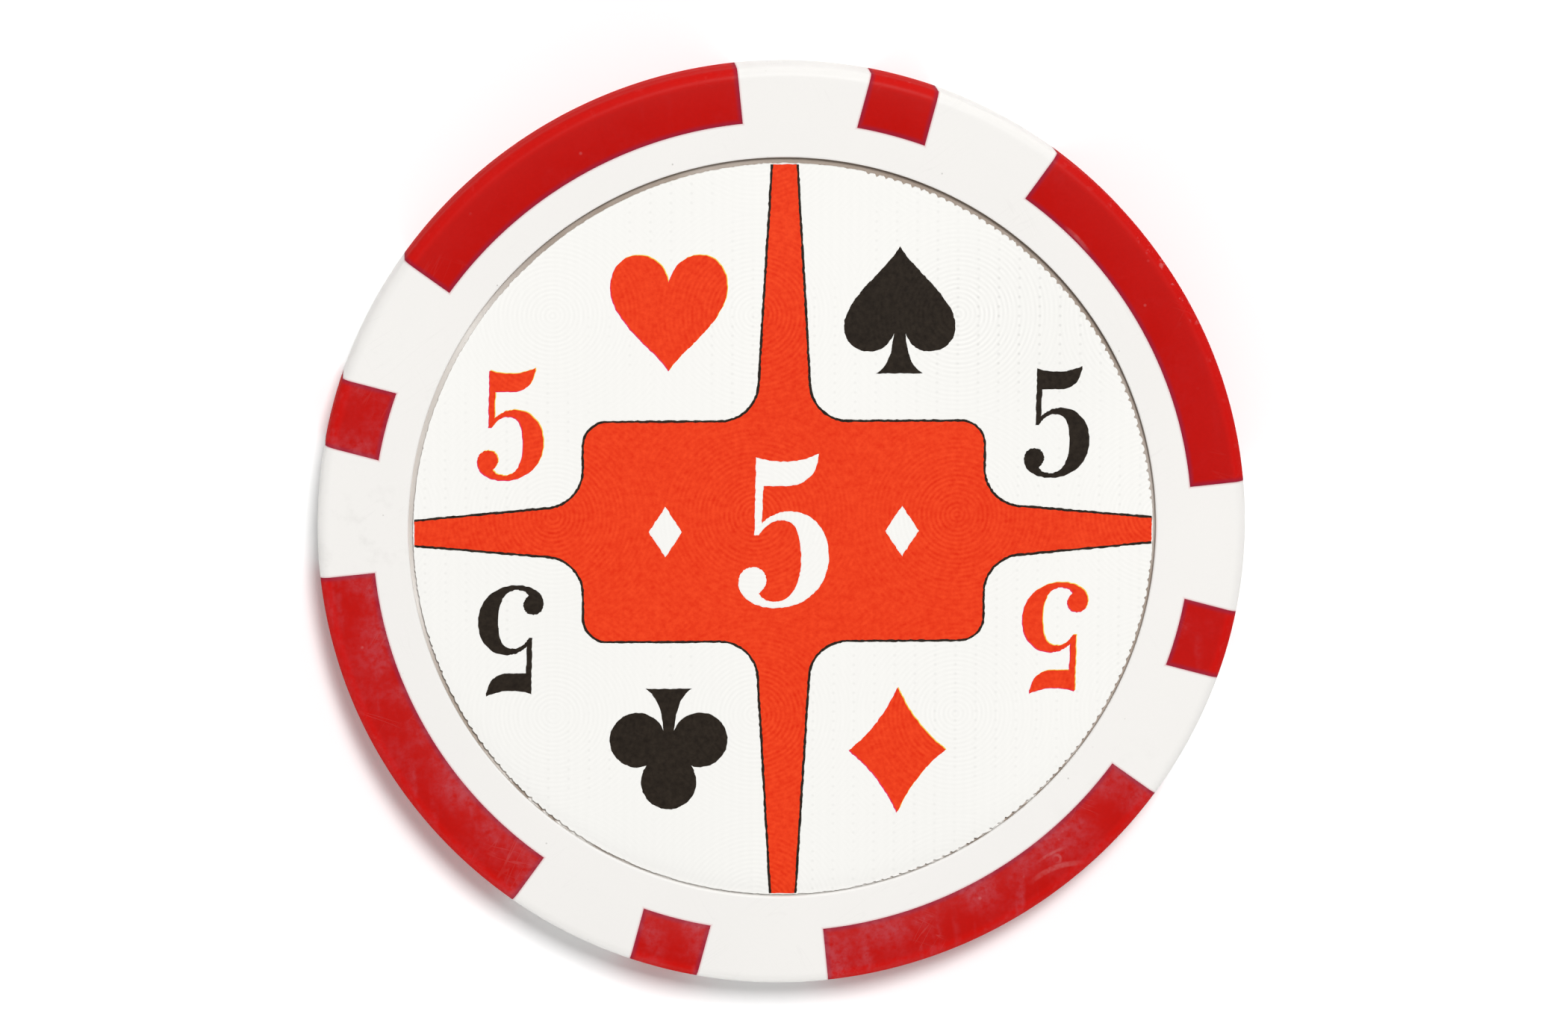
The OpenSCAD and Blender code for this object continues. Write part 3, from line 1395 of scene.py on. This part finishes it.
@dataclass
class PrintedLabel:
    """The label of each face: die-cut film and its inks, with figures knocked out of the red field."""

    chip: ChipSizes
    ink_t: float = 0.006
    coats: int = 3
    keyline: float = 0.1
    ragged: float = 0.03
    teeth: int = 250
    tooth_points: int = 4
    bites: Tuple[Triple, ...] = ((5, 78, 0.09), (196, 236, 0.05), (282, 355, 0.06))
    rough: float = 0.018
    laid_at: Point = (0.03, -0.095)
    margin: float = 0.05
    plaque: Point = (8.6, 4.75)
    ray_root: float = 1.15
    ray_tip: float = 0.5
    panel_r: float = 1.7
    plaque_r: float = 1.0
    figure_h: float = 6.5
    lozenge: Point = (0.72, 1.1)
    lozenge_x: float = 5.1
    index_h: float = 4.7
    pip_h: float = 5.0
    pip_at: Point = (4.95, 9.6)
    index_at: Point = (11.75, 4.7)
    fringe: Tuple[Point, Point] = ((0.035, 0.03), (-0.03, -0.03))
    film_seed: int = 11
    keyline_seed: int = 5
    field_seed: int = 6
    panel_seed: int = 10
    knocked_seed: int = 20
    film: Finish = PrintedFilm("white_film")
    yellow: Finish = PrintInk("yellow_ink", colour=(0.93, 0.70, 0.10), deep=(0.88, 0.58, 0.05))
    magenta: Finish = PrintInk("magenta_ink", colour=(0.80, 0.03, 0.19), deep=(0.70, 0.015, 0.12))
    red: Finish = PrintInk("red_ink")
    black: Finish = PrintInk(
        "black_ink", colour=(0.030, 0.0215, 0.0145), deep=(0.010, 0.0065, 0.0045), relief=0.2
    )

    def film_disc(self) -> Bench:
        """Cut the film, a little ragged round its edge and bitten by the die along some stretches.

        Returns:
            The film.
        """
        radius, low = self.chip.label_r, self.chip.label_top - self.chip.film_t
        disc = Bench.disc("film", radius - self.ragged / 2, low, self.tooth_points * self.teeth)
        with disc.editing("VERT", "SELECT"):
            bpy.ops.transform.vertex_random(offset=self.ragged, uniform=0.0, normal=0.0, seed=self.film_seed)
            bpy.ops.transform.resize(value=(1, 1, 0), center_override=(0, 0, low))
            for start, end, bite in self.bites:
                disc.pick("verts", lambda v: self.root_of_tooth(v) and start < self.direction(v) < end)
                scale = 1 - bite / radius
                bpy.ops.transform.resize(value=(scale, scale, 1), center_override=(0, 0, low))
            bpy.ops.mesh.select_mode(type="FACE")
            bpy.ops.mesh.select_all(action="SELECT")
            bpy.ops.mesh.extrude_region_move(TRANSFORM_OT_translate={"value": (0, 0, self.chip.film_t)})
        disc.close()
        return disc

    def root_of_tooth(self, vert: Any) -> bool:
        """Say whether a corner is the one in its tooth that the die may bite."""
        return vert.index % self.tooth_points == 0

    @staticmethod
    def direction(vert: Any) -> float:
        """Direction of a corner from the axis, from 0 to 360 degrees."""
        return math.degrees(math.atan2(vert.co.y, vert.co.x)) % 360

    def field(self, grow: float) -> Shape:
        """Outline of the red field: a plaque with four tapering rays that run to the label's edge.

        Args:
            grow: How far the outline stands outside the red.

        Returns:
            The points.
        """
        px, py = self.plaque[0] + grow, self.plaque[1] + grow
        root, tip, edge = self.ray_root + grow, self.ray_tip + grow, self.chip.label_r - self.margin
        inner, outer = self.panel_r - grow, self.plaque_r + grow
        reach = math.sqrt(edge * edge - tip * tip)
        quarter = [(reach, tip, 0.0), (px, root, inner), (px, py, outer)]
        quarter += [(root, py, inner), (tip, reach, 0.0)]
        half = quarter + [(-x, y, r) for x, y, r in reversed(quarter)]
        return Outline.rounded(half + [(-x, -y, r) for x, y, r in half])

    def panels(self) -> Dict[Ink, List[Shape]]:
        """The pips and index figures of the four white panels; those of the lower half are turned round.

        Returns:
            Outlines in each ink.
        """
        (px, py), (ix, iy) = self.pip_at, self.index_at
        drawn: Dict[Ink, List[Shape]] = {ink: [] for ink in Ink}
        for pip, ink, sx, sy in (
            (Pip.SPADE, Ink.BLACK, 1, 1),
            (Pip.HEART, Ink.RED, -1, 1),
            (Pip.CLUB, Ink.BLACK, -1, -1),
            (Pip.DIAMOND, Ink.RED, 1, -1),
        ):
            turn = 0.0 if sy > 0 else 180.0
            figures = (
                Outline.placed(Outline.pip(pip), self.pip_h, sx * px, sy * py, turn),
                Outline.placed(Outline.five(), self.index_h, sx * ix, sy * iy, turn),
            )
            drawn[ink] += self.roughened(figures, self.panel_seed)
        return drawn

    def knocked_out(self) -> List[Shape]:
        """The plaque's figure and lozenges, which show the white film.

        Returns:
            Their outlines.
        """
        w, h = self.lozenge
        lozenge = [(0.0, -h), (w, 0.0), (0.0, h), (-w, 0.0)]
        figures = [Outline.placed(Outline.five(), self.figure_h, 0.0, 0.0)]
        figures += [Outline.placed(lozenge, 1.0, x, 0.0) for x in (-self.lozenge_x, self.lozenge_x)]
        return self.roughened(figures, self.knocked_seed)

    def roughened(self, figures: Sequence[Shape], seed: int) -> List[Shape]:
        """Give some figures the rough edge of print, each from a seed of its own."""
        return [Outline.printed(figure, self.rough, seed + k) for k, figure in enumerate(figures)]

    def layers(self) -> Iterator[Tuple[str, Bench, Finish]]:
        """Cut the film and lay its inks, as on the front.

        Yields:
            Each layer's name, mesh and finish.
        """
        drawn, holes = self.panels(), self.knocked_out()
        keyline = Outline.printed(self.field(self.keyline), self.rough, self.keyline_seed)
        field = Outline.printed(self.field(0.0), self.rough, self.field_seed)
        yellow, magenta = (
            [Outline.placed(o, 1.0, *shift) for o in drawn[Ink.RED]] for shift in self.fringe
        )
        top, ink, coat = self.chip.label_top, self.ink_t, self.ink_t / self.coats
        yield "film", self.film_disc(), self.film
        for part, finish, outlines, low, high in (
            ("black_ink", self.black, [keyline, *holes, *drawn[Ink.BLACK]], top, top + ink),
            ("red_field", self.red, [field, *holes], top + ink, top + 2 * ink),
            ("red_pips", self.red, drawn[Ink.RED], top + 2 * coat, top + ink),
            ("yellow_fringe", self.yellow, yellow, top, top + coat),
            ("magenta_fringe", self.magenta, magenta, top + coat, top + 2 * coat),
        ):
            yield part, Bench.flat_shape(part, outlines, low, high), finish

    def build(self) -> List[Object]:
        """Make the labels of both faces.

        Returns:
            The finished pieces.
        """
        made = []
        for part, layer, finish in self.layers():
            for side in Side:
                piece = layer.copy(f"{side.value}_label_{part}")
                if side is Side.BACK:
                    piece.turn(180.0, "Y", self.chip.thick)
                piece.slide(*self.laid_at)
                node = f"{side.value}_label" if part == "film" else None
                made.append(piece.finish(node, "label_film", finish))
            layer.scrap()
        return made


@dataclass
class InnerParts:
    """What the moulding and the labels hide: the weight and the adhesive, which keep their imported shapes."""

    steel: Finish = RolledSteel("rolled_steel")
    glue: Finish = ClearAdhesive("amber_adhesive")

    def dress(self) -> List[Object]:
        """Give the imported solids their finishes.

        Returns:
            The solids.
        """
        finishes = {
            "core_weight": self.steel, "front_label_adhesive": self.glue, "back_label_adhesive": self.glue,
        }
        for node, finish in finishes.items():
            finish.dress(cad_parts[node])
        return [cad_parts[node] for node in finishes]


@dataclass(frozen=True)
class Lamp:
    """A soft lamp that faces the chip, by its share of the light that falls on the floor; sizes in metres."""

    name: str
    azimuth: float
    height: float
    wide: float
    tall: float
    share: float
    distance: float = 1.2

    def hang(self) -> None:
        """Add the lamp to the scene."""
        a, e = math.radians(self.azimuth), math.radians(self.height)
        data = bpy.data.lights.new(self.name, "AREA")
        data.shape, data.size, data.size_y = "RECTANGLE", self.wide, self.tall
        data.energy = self.share * math.pi**2 * self.distance**2 / math.sin(e)
        lamp = linked(self.name, data)
        towards = Vector((math.cos(a) * math.cos(e), math.sin(a) * math.cos(e), math.sin(e)))
        lamp.location = towards * self.distance
        lamp.rotation_euler = towards.to_track_quat("Z", "Y").to_euler()


@dataclass
class Studio:
    """Camera, pale floor and soft light; the camera's places in millimetres, the floor's sizes in metres."""

    eye: Triple = (-16.29, 52.4, 324.5)
    aim: Triple = (0.03, 0.54, 3.3)
    roll_deg: float = 0.18
    lens: float = 173.9
    sensor: float = 36.0
    clip: Point = (0.01, 50.0)
    lamps: Tuple[Lamp, ...] = (
        Lamp("key", 74.0, 65.0, 0.26, 0.30, 0.72),
        Lamp("fill", 256.0, 10.0, 1.2, 0.30, 0.06),
    )
    overhead: float = 0.15
    around: float = 0.20
    around_band: Point = (0.95, 0.45)
    horizon: float = 0.5
    horizon_band: Point = (0.15, 0.0)
    floor_r: float = 3.0
    floor_drop: float = 0.00002
    floor_sides: int = 96
    paper: Colour = (0.97, 0.97, 0.97)
    glow: float = 0.09

    def camera(self) -> None:
        """Set the camera where the photograph was taken from."""
        data = bpy.data.cameras.new("camera")
        data.lens, data.sensor_width, data.sensor_fit = self.lens, self.sensor, "HORIZONTAL"
        data.clip_start, data.clip_end = self.clip
        cam = linked("camera", data)
        eye, aim = Vector(self.eye) * MM, Vector(self.aim) * MM
        ahead = (aim - eye).normalized()
        right = ahead.cross(Vector((0, 1, 0))).normalized()
        up = right.cross(ahead)
        turned = Matrix.Rotation(math.radians(self.roll_deg), 3, -ahead)
        axes = Matrix((turned @ right, turned @ up, -ahead)).transposed()
        cam.matrix_world = Matrix.Translation(eye) @ axes.to_4x4()
        bpy.context.scene.camera = cam

    def world(self) -> None:
        """Light from all round: dim overhead, bright towards the horizon."""
        world = bpy.data.worlds.new("studio")
        bpy.context.scene.world = world
        sheet = NodeSheet(world, "Generated", 1.0)
        level = self.overhead + self.around * sheet.z.rise(*self.around_band)
        level = level + self.horizon * sheet.z.rise(*self.horizon_band)
        back = sheet.node("ShaderNodeBackground", {}, {"Color": (1.0, 1.0, 1.0, 1.0), "Strength": level})
        sheet.node("ShaderNodeOutputWorld", {}, {"Surface": back.outputs[0]})

    def floor(self) -> None:
        """Lay a plain white floor that keeps the chip's shadow."""
        floor = Bench.disc("floor", self.floor_r, -self.floor_drop, self.floor_sides).obj
        sheet = NodeSheet(bpy.data.materials.new("floor_paper"))
        path = sheet.node("ShaderNodeLightPath")
        rays = ("Is Camera Ray", "Is Glossy Ray", "Is Transmission Ray")
        seen = reduce(Num.high, [Num(sheet, path.outputs[ray]) for ray in rays])
        paper = sheet.node("ShaderNodeBsdfDiffuse", {}, {"Color": (*self.paper, 1.0)})
        glow = sheet.node("ShaderNodeEmission", {}, {"Strength": seen * self.glow})
        both = sheet.node("ShaderNodeAddShader", {}, {0: paper.outputs[0], 1: glow.outputs[0]})
        sheet.node("ShaderNodeOutputMaterial", {}, {"Surface": both.outputs[0]})
        floor.data.materials.append(sheet.owner)

    def build(self) -> None:
        """Set up the whole studio."""
        self.camera()
        self.floor()
        self.world()
        for lamp in self.lamps:
            lamp.hang()
        bpy.context.scene.view_settings.view_transform = "Standard"


def main() -> None:
    """Build the chip and its studio, and report each piece."""
    logging.basicConfig(level=logging.INFO, format="%(name)s %(message)s")
    chip = ChipSizes.measured()
    Studio().build()
    inserts = EdgeInserts(chip)
    pieces = [WhiteMoulding(chip).build(inserts.pockets())]
    pieces += inserts.build() + PrintedLabel(chip).build() + InnerParts().dress()
    for piece in pieces:
        log.info("%s: %d faces", piece.name, len(piece.data.polygons))


if __name__ == "__main__":
    main()
